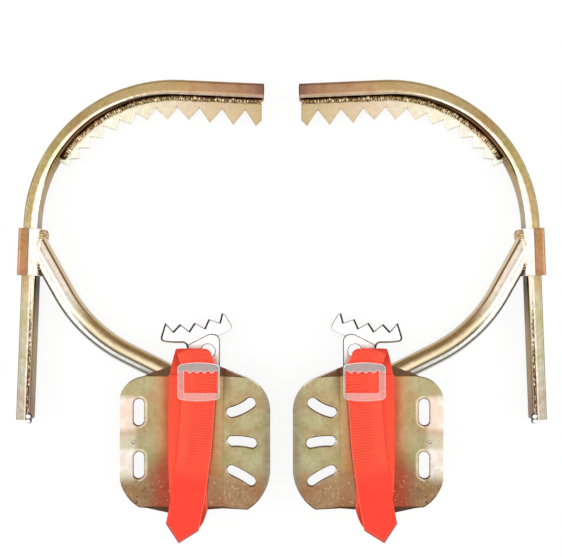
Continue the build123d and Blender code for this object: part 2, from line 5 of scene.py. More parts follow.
import bpy
import numpy as np
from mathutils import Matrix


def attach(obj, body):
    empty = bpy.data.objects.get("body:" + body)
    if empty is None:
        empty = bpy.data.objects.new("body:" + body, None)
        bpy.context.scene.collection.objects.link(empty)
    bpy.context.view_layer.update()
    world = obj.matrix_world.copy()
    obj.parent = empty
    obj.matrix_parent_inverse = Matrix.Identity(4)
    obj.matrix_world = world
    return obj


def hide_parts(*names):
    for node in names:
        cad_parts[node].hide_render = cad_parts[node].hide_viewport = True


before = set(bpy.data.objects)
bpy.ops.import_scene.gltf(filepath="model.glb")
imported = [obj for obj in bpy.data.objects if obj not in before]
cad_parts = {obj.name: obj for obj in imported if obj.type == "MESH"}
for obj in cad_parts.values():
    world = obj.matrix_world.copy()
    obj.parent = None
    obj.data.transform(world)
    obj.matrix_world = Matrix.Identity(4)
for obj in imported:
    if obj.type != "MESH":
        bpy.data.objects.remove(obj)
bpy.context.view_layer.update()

bl_info = {
    "name": "Hook climber dressing",
    "version": (1, 0, 0),
    "blender": (4, 5, 0),
    "location": "View3D > Sidebar > Climbers",
    "description": "Webbing, weld beads, plating and a studio for a pair of hook climbers",
    "category": "Object",
}

MM = 0.001
UP = np.array([0.0, 0.0, 1.0])
SIDES = (("left", 1.0), ("right", -1.0))      # the right climber is the left one mirrored in X

# The hook, in millimetres on the left climber: its bend, its bar, its leg and the rail welded inside it
BEND = np.array([-124.5, 90.15])
BEND_R = 164.6
BAR_DROOP = np.radians(2.6)
BAR_WAY = np.array([np.cos(BAR_DROOP), -np.sin(BAR_DROOP), 0.0])
BAR_OUT = np.array([np.sin(BAR_DROOP), np.cos(BAR_DROOP), 0.0])
LEG_LEAN = np.radians(2.2)
LEG_WAY = np.array([-np.sin(LEG_LEAN), -np.cos(LEG_LEAN), 0.0])
LEG_OUT = np.array([-np.cos(LEG_LEAN), np.sin(LEG_LEAN), 0.0])
HOOK_TOP = 20.9
RAIL_RUN = (-173.5, 95.8)      # both ends, along the hook from the start of its bar
RAIL_ROOT = 8.55               # inside the tube's middle line
RAIL_FACES = (12.95, 8.85)     # heights of the upper and the lower face

# The arm, from the side of the collar to its end under the pedal
ARM_R = 12.2
ARM_Z = 12.4
ARM_KNEE = np.array([-226.9, -29.25, ARM_Z])
ARM_STEEP = np.radians(61.1)
ARM_SHALLOW = np.radians(26.6)
COLLAR_WAY = np.array([-np.cos(ARM_STEEP), np.sin(ARM_STEEP), 0.0])
PEDAL_WAY = np.array([np.cos(ARM_SHALLOW), -np.sin(ARM_SHALLOW), 0.0])
PEDAL_ACROSS = np.array([np.sin(ARM_SHALLOW), np.cos(ARM_SHALLOW), 0.0])
ARM_ALONG = 174.0              # from the knee to the end under the pedal
COLLAR_HALF = 12.4
BRACKET_MID = -89.75
BRACKET_WELD_HALF = 17.5
CLAW_WELD = ((-109.0, -50.3, 13.3), (-109.0, -67.3, 13.3))

# The pedal: its middle, the strap's place across it, and its two outer slots
PEDAL_Y = -147.0
STRAP_X = -105.0
SLOT_X = -161.5
SLOT_APART = 30.0              # from the pedal's middle to the middle of each slot
SLOT_HALF = 9.5                # half of a slot's straight part

# The strap's middle line on the left climber: place across, along and up
STRAP_LINE = np.array([
    (-108.2, -74.7, 31.1), (-108.8, -120.0, 31.1), (-108.8, -180.0, 31.1), (-107.6, -207.0, 31.1),
    (-104.0, -231.0, 31.1), (-102.4, -249.0, 31.1), (-102.4, -249.0, 29.0), (-103.0, -225.0, 29.0),
    (-104.0, -193.9, 29.0), (-104.0, -188.7, 23.3), (-104.0, -131.2, 23.3), (-104.3, -126.1, 28.9),
    (-106.4, -103.0, 29.0), (-107.8, -77.0, 29.0), (-104.4, -60.0, 29.0), (-100.7, -48.8, 29.3),
    (-99.4, -44.9, 32.1), (-98.5, -46.3, 35.1), (-97.4, -49.2, 36.0), (-96.3, -54.8, 35.5),
    (-94.2, -61.4, 34.3), (-91.4, -69.5, 34.3), (-90.0, -78.3, 35.2), (-90.0, -84.3, 35.2),
    (-91.4, -93.7, 34.3), (-93.2, -99.0, 34.3), (-94.7, -118.0, 33.4), (-97.8, -160.0, 33.2),
    (-104.1, -206.0, 33.1), (-110.4, -240.0, 33.1), (-116.0, -265.3, 32.3), (-118.3, -275.1, 32.1),
])
STRAP_SPARE = 10.0       # how far the line runs on past the strap's point
WEBBING = 38.0           # width of the strap
TAIL_POINT = 18.5        # length of the pointed end
TAIL_TAPER = 40.0        # length over which the threads are shortened to the cut
ACROSS_POINTS = 21       # points across each face
EDGE_SHARE = 0.9995      # share of the half width where they end
EDGE_POWER = 16          # how sharply the edge rounds off
RIB_HEIGHT = 0.13
RIB_FADE = (60.0, 100.0)       # distances from the point over which the ribs grow to their full height
RIB_LEAST = 0.2                # share of their height that is left at the point
SELVAGE = (0.86, 0.9)          # shares of the half width over which the selvage begins
SELVAGE_RIBS = 0.6             # height of its ribs as a share of the others
REAR_PULL = 22.0               # how far the right corner of the rear fold draws in
REAR_SPREAD = 18.0             # how far along the strap that reaches
FRONT_PULL = 4.0               # the same two at the front fold
FRONT_SPREAD = 7.0
FRONT_BOW = 0.5                # how far both edges of the front fold draw in

# A weld bead: points round it, and how far its ripples lean back at the sides, in ripples
BEAD_COLUMNS = 24
RIPPLE_LEAN = 0.35
WANDER_WAVES = (3.1, 5.3, 8.9, 17.0)     # lengths of its slow waves, in ripples
WANDER_PARTS = 2.2                       # what their sum is divided by
RIPPLE_RISE = 0.06                       # how much a ripple adds to its size, as a share
GRAIN_RISE = 0.02                        # the same for a grain of spatter
BEAD_TAPER = 2.5                         # length of each rounded end in millimetres
BEAD_LEAST = 0.004                       # share of that length where the end is closed

NOISE_SPAN = (0.3, 0.7)  # where most values of a noise lie

# Kinds of node: the type, the sockets that take its values in order, the output that is used, and settings
MATH = "ShaderNodeMath"
VECTOR = "ShaderNodeVectorMath"
RANGE = "ShaderNodeMapRange"
MIX = "ShaderNodeMix"
RAYS = "ShaderNodeLightPath"
ENDS = ("Value", "From Min", "From Max", "To Min", "To Max")
BOTH = (MATH, (0, 1), 0, {"operation": "MULTIPLY"})
SUM = (MATH, (0, 1), 0, {"operation": "ADD"})
LESS = (MATH, (0, 1), 0, {"operation": "SUBTRACT"})
LARGER = (MATH, (0, 1), 0, {"operation": "MAXIMUM"})
TIMES_PLUS = (MATH, (0, 1, 2), 0, {"operation": "MULTIPLY_ADD"})
POWER = (MATH, (0, 1), 0, {"operation": "POWER"})
ANGLE = (MATH, (0, 1), 0, {"operation": "ARCTAN2"})
COSINE = (MATH, (0,), 0, {"operation": "COSINE"})
SIGN = (MATH, (0,), 0, {"operation": "SIGN"})
SIZE = (MATH, (0,), 0, {"operation": "ABSOLUTE"})
EVEN = (RANGE, ENDS, 0, {})                                      # evenly from one value to another
EASE = (RANGE, ENDS, 0, {"interpolation_type": "SMOOTHSTEP"})    # smoothly from 0 to 1
SPREAD = (VECTOR, (0, 1), 0, {"operation": "MULTIPLY"})
APART = (VECTOR, (0, 1), 0, {"operation": "SUBTRACT"})
SCALED = (VECTOR, (0, "Scale"), 0, {"operation": "SCALE"})
LENGTH = (VECTOR, (0,), "Value", {"operation": "LENGTH"})
DOT = (VECTOR, (0, 1), "Value", {"operation": "DOT_PRODUCT"})
JOINED = ("ShaderNodeCombineXYZ", (0, 1, 2), 0, {})
AXES = ("ShaderNodeSeparateXYZ", (0,), slice(3), {})
TINT = (MIX, (0, 6, 7), 2, {"data_type": "RGBA"})                # from one colour to another by a share
STAIN = (MIX, (0, 6, 7), 2, {"data_type": "RGBA", "blend_type": "MULTIPLY"})
RAMP = ("ShaderNodeValToRGB", (0,), 0, {})
NOISE = ("ShaderNodeTexNoise", ("Vector", "Scale", "Detail", "Roughness"), 0, {})
BUMP = ("ShaderNodeBump", ("Height", "Strength", "Distance"), 0, {})
PLACE = ("ShaderNodeTexCoord", (), "Object", {})
SKYWARD = ("ShaderNodeTexCoord", (), "Generated", {})
FACING = ("ShaderNodeNewGeometry", (), "Normal", {})
ROUNDED = ("ShaderNodeBevel", ("Radius",), 0, {"samples": 6})
WEAVE = ("ShaderNodeUVMap", (), 0, {"uv_map": "weave"})
CREST = ("ShaderNodeAttribute", (), "Fac", {"attribute_name": "crest"})
PRINCIPLED = ("ShaderNodeBsdfPrincipled", (), 0, {})
DULL = ("ShaderNodeBsdfDiffuse", ("Color",), 0, {})
GLOW = ("ShaderNodeEmission", ("Color", "Strength"), 0, {})
EITHER = ("ShaderNodeMixShader", (0, 1, 2), 0, {})
SKY = ("ShaderNodeBackground", ("Color", "Strength"), 0, {})
OUTPUT = ("ShaderNodeOutputMaterial", ("Surface",), 0, {})
WORLD_OUTPUT = ("ShaderNodeOutputWorld", ("Surface",), 0, {})


def linear(code):
    """Linear colour of an sRGB hex value, with full alpha."""
    part = np.array([int(code[i:i + 2], 16) for i in (1, 3, 5)]) / 255.0
    low = part / 12.92
    high = ((part + 0.055) / 1.055) ** 2.4
    return (*np.where(part <= 0.04045, low, high).tolist(), 1.0)


def add_node(tree, kind, *values, sockets=(), stops=(), **settings):
    """Add a node of a kind to a tree, with further settings and a ramp's stops, and give its output.

    Values, hex colours and outputs of other nodes go to the kind's sockets in order, or to sockets by name.
    """
    node, order, out, usual = kind
    made = tree.nodes.new(node)
    for name, value in (usual | settings).items():
        setattr(made, name, value)
    if stops:
        ramp = made.color_ramp.elements
        while len(ramp) < len(stops):
            ramp.new(1.0)
        for element, (place, code) in zip(ramp, stops):
            element.position = place
            element.color = linear(code)
    for socket, value in (dict(zip(order, values)) | dict(sockets)).items():
        if isinstance(value, bpy.types.NodeSocket):
            tree.links.new(value, made.inputs[socket])
        else:
            made.inputs[socket].default_value = linear(value) if isinstance(value, str) else value
    return made.outputs[out] if made.outputs else None


def start_material(name):
    """Empty node material, and the function that adds a node to it."""
    material = bpy.data.materials.new(name)
    material.use_nodes = True
    material.node_tree.nodes.clear()
    return material, partial(add_node, material.node_tree)


def surface_of(add, reach=0.8):
    """Place of a point on the left climber in millimetres, the way it faces, and how near an edge it is.

    A point of the right climber is mirrored over to the left one. An edge is near where the rounded normal,
    taken over the given reach in millimetres, leaves the true one; the tilt is the way it leaves in the flat.
    """
    place = add(SCALED, add(PLACE), 1 / MM)
    rounded = add(ROUNDED, reach * MM)
    true = add(FACING)
    (px, y, z), (nx, ny, nz), (tx, ty, _) = [add(AXES, vector) for vector in (place, true, rounded)]
    mirror = add(BOTH, add(SIGN, px), -1.0)
    x = add(BOTH, px, mirror)
    where = add(JOINED, x, y, z)
    edge = add(EASE, add(DOT, rounded, true), 0.985, 0.82)
    return SimpleNamespace(x=x, y=y, z=z, where=where, nx=add(BOTH, nx, mirror), ny=ny, nz=nz,
                           tilt_x=add(BOTH, tx, mirror), tilt_y=ty, edge=edge)


def hook_place(add, at):
    """How far along the hook a point is from the start of its bar, and how deep inside its middle line.

    Both are in millimetres. Below the top face the depth grows by 0.42 of the drop, so that it runs on down
    the inner side.
    """
    flat = add(SPREAD, at.where, (1.0, 1.0, 0.0))
    bent = add(APART, flat, (*BEND, 0.0))
    runs = [add(LARGER, add(DOT, bent, way), 0.0) for way in (BAR_WAY, LEG_WAY)]
    for way, run in zip((BAR_WAY, LEG_WAY), runs):
        bent = add(APART, bent, add(SCALED, way, run))
    inside = add(LESS, BEND_R, add(LENGTH, bent))
    depth = add(TIMES_PLUS, add(LESS, HOOK_TOP, at.z), 0.42, inside)
    turn = add(ANGLE, add(DOT, bent, -BAR_WAY), add(DOT, bent, BAR_OUT))
    along = add(TIMES_PLUS, turn, -BEND_R, add(LESS, *runs))
    return along, depth


def plate_over(add, at, colour, roughness, grain, clouds=0.9, metal=1.0):
    """Finish zinc plate: mottled colour, roughness that wanders with it and the fine grain of the steel."""
    # Crystals of the plate and stains of the passivation bath, 5 mm and 30 mm across, grit 0.7 mm
    mottle = add(NOISE, at.where, 1 / 5.0, 4.0, 0.62)
    stain = add(NOISE, at.where, 1 / 30.0, 3.0)
    grit = add(NOISE, at.where, 1 / 0.7, 2.0)
    worn = add(STAIN, 1.0, colour, add(EVEN, mottle, *NOISE_SPAN, 0.88, 1.1))
    tint = add(RAMP, stain, stops=[(0.36, "#f6e4da"), (0.5, "#ffffff"), (0.64, "#eef2da")])
    shade = add(STAIN, clouds, worn, tint)
    rough = add(EVEN, mottle, *NOISE_SPAN, roughness - 0.06, roughness + 0.08)
    bump = add(BUMP, grit, grain, 0.08 * MM)
    shader = add(PRINCIPLED, sockets={
        "Base Color": shade, "Metallic": metal, "Roughness": rough, "Normal": bump})
    add(OUTPUT, shader)


def hook_band(add, along, depth, leg):
    """Share of the painted highlight band on the hook's inner corner, and how far past the band a point is.

    The band's start and end, in millimetres inside the tube's middle line, change on the way round the bend.
    """
    first = add(EVEN, along, -20.0, -105.0, 6.2, 2.9)
    first = add(SUM, first, add(EVEN, along, -105.0, -165.0, 0.0, -1.2))
    last = add(EVEN, along, 0.0, -110.0, 9.5, 5.7)
    last = add(SUM, last, add(EVEN, along, -185.0, -235.0, 0.0, 3.0))
    last = add(TIMES_PLUS, leg, -1.2, last)
    return add(EASE, add(LESS, depth, first), -0.6, 0.8), add(LESS, depth, last)


def hook_plating():
    """Yellow chromate zinc on drawn square tube: coppery at the tip, olive at the bend, grey where it slides.

    A painted highlight runs as a pale band along the inner corner. Beyond it the inner side is painted
    in shade: brown along the rail, tan further down and darkest in a painted shadow near the collar. The
    outer corner down the leg is painted darker as shade, and the leg's corner is scratched and rusty where
    the collar runs over it. Each change of colour goes by the millimetres along the hook or inside its
    middle line.
    """
    material, add = start_material("yellow_chromate_zinc_hook")
    at = surface_of(add, 2.0)
    along, depth = hook_place(add, at)
    run = add(EVEN, along, -480.0, 97.0)
    top = add(RAMP, run, stops=[
        (0.1, "#cac3b1"), (0.25, "#cfc097"), (0.42, "#c2ae7c"), (0.6, "#ac9667"), (0.75, "#bfa578"),
        (0.84, "#bd9c72"), (0.92, "#b08969"), (0.96, "#ac8066"), (1.0, "#856452")])
    band = add(RAMP, run, stops=[
        (0.1, "#f8efdf"), (0.42, "#fefcee"), (0.68, "#fdeedb"), (0.84, "#f6e2cf"), (0.97, "#eed2ba")])
    side = add(RAMP, run, stops=[
        (0.02, "#93806f"), (0.14, "#a89272"), (0.2, "#8b785b"), (0.26, "#3f3824"), (0.4, "#b6a78d"),
        (0.49, "#b49c78"), (0.53, "#8f7252"), (0.57, "#82684a"), (1.0, "#967b5e")])
    leg = add(EASE, along, -300.0, -330.0)
    in_band, past = hook_band(add, along, depth, leg)
    # Painted shade darkens the outer corner down the leg
    outside = add(BOTH, add(EASE, depth, -3.4, -5.4), add(EASE, along, -140.0, -230.0))
    colour = add(TINT, add(BOTH, outside, 0.6), top, "#6f6048")
    # A painted highlight: the pale band along the inner corner
    colour = add(TINT, in_band, colour, band)
    # The leg's corner goes from scuffed to brown on the way down, with rust and bare scratches 1.5 mm across
    scuffed = add(BOTH, add(BOTH, add(EASE, depth, 3.0, 3.9), leg), add(EASE, past, 0.3, -0.3))
    worn = add(RAMP, run, stops=[
        (0.0, "#806d60"), (0.06, "#705a45"), (0.11, "#826a50"), (0.16, "#ab977f"), (0.25, "#efe2cc")])
    colour = add(TINT, scuffed, colour, worn)
    stretched = add(SPREAD, at.where, (1.0, 0.35, 1.0))
    scratch = add(NOISE, stretched, 1 / 1.5, 3.0)
    corner = add(BOTH, add(EASE, along, -330.0, -365.0), add(EASE, depth, 3.2, 4.4))
    rust = add(BOTH, add(BOTH, add(EASE, scratch, 0.47, 0.55), corner), add(EASE, depth, 7.5, 5.0))
    colour = add(TINT, add(BOTH, rust, 0.85), colour, "#412b18")
    bare = add(BOTH, add(BOTH, add(EASE, scratch, 0.44, 0.38), corner), add(EASE, depth, 7.6, 6.6))
    colour = add(TINT, bare, colour, "#f3e6d0")
    # Past the band the inner side is painted in shade: brown along the rail, darkest in a painted shadow near
    # the collar
    colour = add(TINT, add(EASE, past, -0.4, 0.5), colour, side)
    # Painted dark lines of shade just past the band: one beside the rail, and one on the leg
    line = add(BOTH, add(EASE, past, -0.2, 0.5), add(EASE, past, 2.8, 1.2))
    upper = add(EASE, along, -214.0, -190.0)
    colour = add(TINT, add(BOTH, line, upper), colour, "#4d3620")
    rubbed = add(BOTH, add(BOTH, add(EASE, past, -0.3, 0.3), add(EASE, past, 1.6, 0.9)), corner)
    colour = add(TINT, add(BOTH, rubbed, 0.6), colour, "#5f452e")
    tip = add(BOTH, at.edge, add(EASE, along, 92.0, 95.0))
    colour = add(TINT, tip, colour, "#4b3022")
    plate_over(add, at, colour, 0.34, 0.25)
    return material


def tooth_plating():
    """Yellow chromate zinc on a sawn steel strip: tan at the tip of the hook, almost white round the bend."""
    material, add = start_material("pale_chromate_zinc_teeth")
    at = surface_of(add, 2.4)
    along = hook_place(add, at)[0]
    top = add(RAMP, add(EVEN, along, -180.0, 95.0), stops=[
        (0.0, "#f6f5e8"), (0.3, "#f8f4e2"), (0.5, "#efe3c9"), (0.66, "#e2d0b6"), (0.8, "#d5bf9e"),
        (1.0, "#c5b085")])
    # Painted shade darkens the edges
    colour = add(TINT, add(BOTH, at.edge, 0.6), top, "#857863")
    plate_over(add, at, colour, 0.42, 0.2, 0.25)
    return material


def collar_plating():
    """Yellow chromate zinc gone coppery on the outer half of the sleeve, white towards the arm past a darker
    line.
    """
    material, add = start_material("coppery_chromate_zinc_collar")
    at = surface_of(add, 2.2)
    depth = hook_place(add, at)[1]
    top = add(RAMP, add(EVEN, at.y, 38.0, 93.0), stops=[
        (0.0, "#b08467"), (0.25, "#bd906d"), (0.6, "#b48558"), (1.0, "#ac8662")])
    colour = add(TINT, add(BOTH, add(EASE, depth, -8.0, -12.0), 0.6), top, "#a3775e")
    colour = add(TINT, add(EASE, depth, -1.4, -0.8), colour, "#8b765e")
    colour = add(TINT, add(EASE, depth, -0.4, 0.6), colour, "#fdfaf2")
    copper = add(EASE, depth, -0.6, -1.6)
    colour = add(TINT, add(BOTH, at.edge, copper), colour, "#7a5a40")
    plate_over(add, at, colour, 0.36, 0.2, 0.5)
    return material


def arm_plating():
    """Yellow chromate zinc on drawn round tube, with lengthwise bands of painted highlight and shade round
    it.
    """
    material, add = start_material("yellow_chromate_zinc_arm")
    at = surface_of(add)
    # How far round the tube a point is, from -1 on its rear flank to 1 on its front flank
    turned = add(TIMES_PLUS, at.ny, 0.73, add(BOTH, at.nx, 0.68))
    level = add(TIMES_PLUS, add(BOTH, at.nz, at.nz), -1.0, 1.0)
    tilt = add(POWER, level, 0.5, use_clamp=True)
    across = add(BOTH, tilt, add(SIGN, turned))
    bands = []
    # The painted bands lie turned round the tube towards the foot, a little less where the arm is flatter
    for lean, stops in ((0.339, [
            (0.0, "#a9a291"), (0.045, "#37342c"), (0.09, "#c9c6b8"), (0.2, "#fcfaee"), (0.43, "#f6f1e6"),
            (0.5, "#c8beb0"), (0.62, "#fff3e3"), (0.755, "#f0dcc4"), (0.79, "#644932"), (0.83, "#75593f"),
            (0.88, "#d8c4a4")]),
            (0.239, [
            (0.04, "#c4c1b8"), (0.1, "#2b2621"), (0.19, "#fffcf2"), (0.24, "#fffcf2"), (0.33, "#4a3d2c"),
            (0.42, "#c0b295"), (0.58, "#efd9b4"), (0.63, "#e4ca9f"), (0.7, "#b18c5f"), (0.84, "#92754a"),
            (0.93, "#cbb79a")])):
        seen = add(TIMES_PLUS, across, np.cos(lean), add(BOTH, at.nz, -np.sin(lean)))
        bands.append(add(RAMP, add(EVEN, seen, -1.0, 1.0), stops=stops))
    colour = add(TINT, add(EASE, at.x, -248.0, -216.0), *bands)
    plate_over(add, at, colour, 0.28, 0.2, 0.4)
    return material


def slot_rims(add, at, away):
    """Share of the painted highlight on the raised rims of the two outer slots, on the side of each towards
    the strap.
    """
    beyond = add(LESS, add(SIZE, add(LESS, away, SLOT_APART)), SLOT_HALF)
    over = add(LESS, at.x, SLOT_X)
    apart = add(LENGTH, add(JOINED, over, add(LARGER, beyond, 0.0)))
    return add(BOTH, add(EASE, apart, 10.0, 7.4), add(EASE, over, -3.0, 3.0))


def pedal_plating():
    """Yellow chromate zinc on press-formed sheet: olive and tan clouds, a pale outer edge, brown at the heel.

    On both sides of the strap it is painted brown and red, as the strap's shade and reflection. The rims of
    the wing slots carry painted highlight and shade by the way they face, and the two lips that are bent
    down are painted dark as shade. Each change of colour goes by the millimetres across and along the pedal.
    """
    material, add = start_material("yellow_chromate_zinc_pedal")
    at = surface_of(add, 3.2)
    # Clouds of the passivation film, about 40 mm across, and specks 3 mm across
    cloud = add(NOISE, at.where, 1 / 40.0, 4.0, 0.55)
    speck = add(NOISE, at.where, 1 / 3.0, 3.0)
    colour = add(RAMP, cloud, stops=[
        (0.32, "#a9946d"), (0.45, "#aea079"), (0.55, "#afa882"), (0.68, "#b4ae88")])
    away = add(SIZE, add(LESS, at.y, PEDAL_Y))
    outer = add(BOTH, add(EASE, at.x, -160.0, -169.0), add(EASE, away, 52.0, 42.0))
    colour = add(TINT, add(BOTH, outer, 0.55), colour, "#e9dfcc")
    colour = add(TINT, add(BOTH, outer, add(EASE, away, 7.0, 14.0)), colour, "#efe7dc")
    strap = add(LESS, at.x, STRAP_X)
    beside = add(SIZE, strap)
    # Painted shade and reflection of the red strap: brown beside it, redder close to it
    colour = add(TINT, add(BOTH, add(EASE, beside, 47.0, 27.0), 0.85), colour, "#ba8258")
    colour = add(TINT, add(BOTH, add(EASE, beside, 34.0, 24.0), 0.5), colour, "#bf6844")
    heel = add(EASE, at.y, -178.0, -203.0)
    colour = add(TINT, add(BOTH, heel, 0.85), colour, "#a17a5c")
    # Painted shade makes the outer side of the strap browner towards the heel,
    # and a painted reflection of the strap makes it red close by
    outward = add(EASE, strap, 5.0, -5.0)
    towards_heel = add(BOTH, outward, add(EASE, at.y, -152.0, -194.0))
    browner = add(BOTH, towards_heel, add(EASE, strap, -54.0, -44.0))
    colour = add(TINT, add(BOTH, browner, 0.7), colour, "#94644a")
    redder = add(BOTH, towards_heel, add(EASE, strap, -46.0, -29.0))
    colour = add(TINT, add(BOTH, redder, 0.85), colour, "#ac4836")
    glow = add(BOTH, outward, add(EASE, strap, -33.0, -22.0))
    colour = add(TINT, add(BOTH, glow, 0.65), colour, "#b04a35")
    # Pale specks along the heel, dark specks at its outer corner, and a dull inner edge
    spots = add(BOTH, add(EASE, speck, 0.6, 0.68), add(EASE, at.y, -175.0, -205.0))
    colour = add(TINT, add(BOTH, spots, 0.45), colour, "#d8c3a0")
    dark_specks = add(BOTH, add(EASE, speck, 0.4, 0.34), add(EASE, at.x, -148.0, -165.0))
    colour = add(TINT, add(BOTH, dark_specks, add(EASE, at.y, -185.0, -205.0)), colour, "#4d3f2a")
    colour = add(TINT, add(BOTH, add(EASE, at.x, -25.0, -17.0), 0.75), colour, "#958c75")
    # Painted highlight on the raised rims of the two outer slots
    colour = add(TINT, add(BOTH, slot_rims(add, at, away), 0.75), colour, "#f4e6cd")
    # The two lips that are bent down are painted dark as shade
    colour = add(TINT, add(EASE, add(SIZE, at.ny), 0.1, 0.3), colour, "#745440")
    # Painted highlight and shade on the rims of all slots in the wings: shade outside and where they face
    # outward or to the heel, highlight elsewhere
    dark = add(LARGER, add(EASE, at.tilt_x, -0.03, -0.15), add(EASE, at.x, -149.0, -151.0))
    dark = add(LARGER, add(EASE, at.tilt_y, -0.03, -0.15), dark)
    rims = add(TINT, dark, "#fff6e6", "#35281c")
    wings = add(BOTH, add(EASE, at.x, -172.5, -171.0), add(EASE, beside, 41.0, 43.0))
    wings = add(BOTH, wings, add(EASE, at.x, -24.0, -26.0))
    colour = add(TINT, add(BOTH, wings, at.edge), colour, rims)
    # Steep walls and edges are painted darker as shade
    colour = add(TINT, add(EASE, at.nz, 0.4, 0.1), colour, "#7a6650")
    plate_over(add, at, colour, 0.38, 0.35)
    return material


def bright_plating(name, flattest, steepest, grain):
    """Clear chromate zinc on cut plate or drops of weld: silvery white on top, sides painted dark as shade.

    The painted shade starts and ends at the given upward shares of the normal, and is paler at the heel side.
    The film is milky, so half of the light comes back dull.
    """
    material, add = start_material(name)
    at = surface_of(add, 2.6)
    # Painted shade on the sides and edges, paler where they face the heel
    edge = add(LARGER, add(EASE, at.nz, flattest, steepest), at.edge)
    facing = add(TIMES_PLUS, add(SIZE, at.nx), 0.7, at.ny)
    edge_shade = add(TINT, add(EASE, facing, -0.6, 0.1), "#aaa49a", "#28221c")
    edge_shade = add(TINT, add(EASE, at.nz, 0.3, 0.05), edge_shade, "#4b453d")
    colour = add(TINT, edge, "#fefdfb", edge_shade)
    plate_over(add, at, colour, 0.36, grain, 0.1, 0.5)
    return material


def weld_metal():
    """Zinc over weld beads: dark brown in hollows and painted shade, pale gold on worn and painted-lit
    ripples.
    """
    material, add = start_material("zinc_over_weld_metal")
    at = surface_of(add)
    colour = add(RAMP, add(CREST), stops=[
        (0.0, "#2e1c10"), (0.3, "#5a4029"), (0.55, "#927653"), (0.75, "#dcc79e"), (1.0, "#fffaee")])
    plate_over(add, at, colour, 0.32, 0.5)
    return material


def webbing_cloth(colour, rib, front, total):
    """Woven polyester webbing: ribs across the strap, fine warp threads along it and a soft sheen.

    The hollows between the ribs are painted in shade, less on the strap's left side. The layers under the
    front fold are deeper red and flattened, and the weave is smooth at the point.
    The rib, the front fold's place along the strap and the strap's length are in metres.
    """
    material, add = start_material("polyester_webbing")
    across, along, _ = add(AXES, add(WEAVE))
    # Ribs at their real pitch; warp threads 0.9 mm apart, a little coarser than real so that they show
    waves = []
    for value, pitch in ((along, rib), (across, 0.9 * MM)):
        wave = add(COSINE, add(BOTH, value, 2 * np.pi / pitch))
        waves.append(add(EVEN, wave, -1.0, 1.0))
    ribs, warp = waves
    height = add(TIMES_PLUS, ribs, 0.6, warp)
    place = add(PLACE)
    fuzz = add(NOISE, place, 1 / (12.0 * MM), 3.0)
    full = tuple(colour[:3]) + (1.0,)
    # Painted shade darkens the hollows between the ribs
    between = tuple(c * share for c, share in zip(colour[:3], (0.82, 0.58, 0.56))) + (1.0,)
    smooth = add(EASE, along, total - 94 * MM, total - 66 * MM)
    under = add(EASE, along, front + 3 * MM, front - 1 * MM)
    # Less painted rib shade on the layers under the front fold and on the strap's left side
    left_side = add(EASE, across, -4 * MM, -13 * MM)
    flat = add(LARGER, smooth, add(BOTH, under, 0.75))
    flat = add(LARGER, flat, add(BOTH, left_side, 0.8))
    shown = add(TIMES_PLUS, flat, 0.8, ribs, use_clamp=True)
    cloth = add(TINT, shown, between, full)
    cloth = add(TINT, smooth, cloth, "#f83c2a")
    cloth = add(TINT, add(BOTH, under, 0.5), cloth, "#ef432c")
    # A painted highlight along the strap's right edge, over its selvage
    selvage = add(EASE, across, 17.2 * MM, 18.4 * MM)
    cloth = add(TINT, add(BOTH, selvage, 0.18), cloth, "#f6b39a")
    # The two cuts of the point are melted to a dull seam that fades out over six millimetres
    to_cut = add(TIMES_PLUS, add(SIZE, across), -2 * TAIL_POINT / WEBBING, add(LESS, total, along))
    cloth = add(TINT, add(BOTH, add(EASE, to_cut, 6.2 * MM, 1.2 * MM), 0.8), cloth, "#ae574b")
    # Shade inside the front fold and in the rear one
    inside = add(BOTH, under, add(EASE, along, front - 40 * MM, front - 12 * MM))
    cloth = add(TINT, add(BOTH, inside, 0.8), cloth, "#c23019")
    turned = add(BOTH, under, add(EASE, add(AXES, place)[1], -212 * MM, -236 * MM))
    cloth = add(TINT, add(BOTH, turned, 0.75), cloth, "#b8281a")
    cloth = add(STAIN, 1.0, cloth, add(EVEN, fuzz, *NOISE_SPAN, 0.95, 1.04))
    bump = add(BUMP, height, 0.35, 0.15 * MM)
    shader = add(PRINCIPLED, sockets={
        "Base Color": cloth, "Roughness": 0.72, "Specular IOR Level": 0.3, "Sheen Weight": 0.07,
        "Sheen Roughness": 0.4, "Normal": bump})
    add(OUTPUT, shader)
    return material


def clear_moulding(colour):
    """Moulded translucent polypropylene: cloudy inside, painted white highlights on its moulded edges, softly
    glossy.

    Only the upper faces cloud the view, so that the cloud isn't counted twice.
    """
    material, add = start_material("translucent_polypropylene")
    at = surface_of(add, 1.2)
    flow = add(NOISE, at.where, 1 / 9.0, 3.0)
    rough = add(EVEN, flow, *NOISE_SPAN, 0.22, 0.36)
    # The front bar is greyer and less clear
    front = add(EASE, at.y, -73.0, -67.5)
    body = add(TINT, front, tuple(colour[:3]) + (1.0,), "#959a98")
    # Painted highlight: white and less clear along the edges and steep faces
    edge = add(LARGER, at.edge, add(EASE, at.nz, 0.95, 0.75))
    body = add(TINT, edge, body, "#fff6f2")
    dense = add(TIMES_PLUS, front, 0.38, add(EVEN, flow, *NOISE_SPAN, 0.22, 0.32))
    dense = add(TIMES_PLUS, edge, 0.35, dense, use_clamp=True)
    dense = add(BOTH, dense, add(EASE, at.nz, -0.6, -0.2))
    shader = add(PRINCIPLED, sockets={"Base Color": body, "Roughness": rough, "IOR": 1.49, "Alpha": dense})
    add(OUTPUT, shader)
    return material


def coat(node, material):
    """Give a node of the frame one material."""
    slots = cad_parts[node].data.materials
    slots.clear()
    slots.append(material)


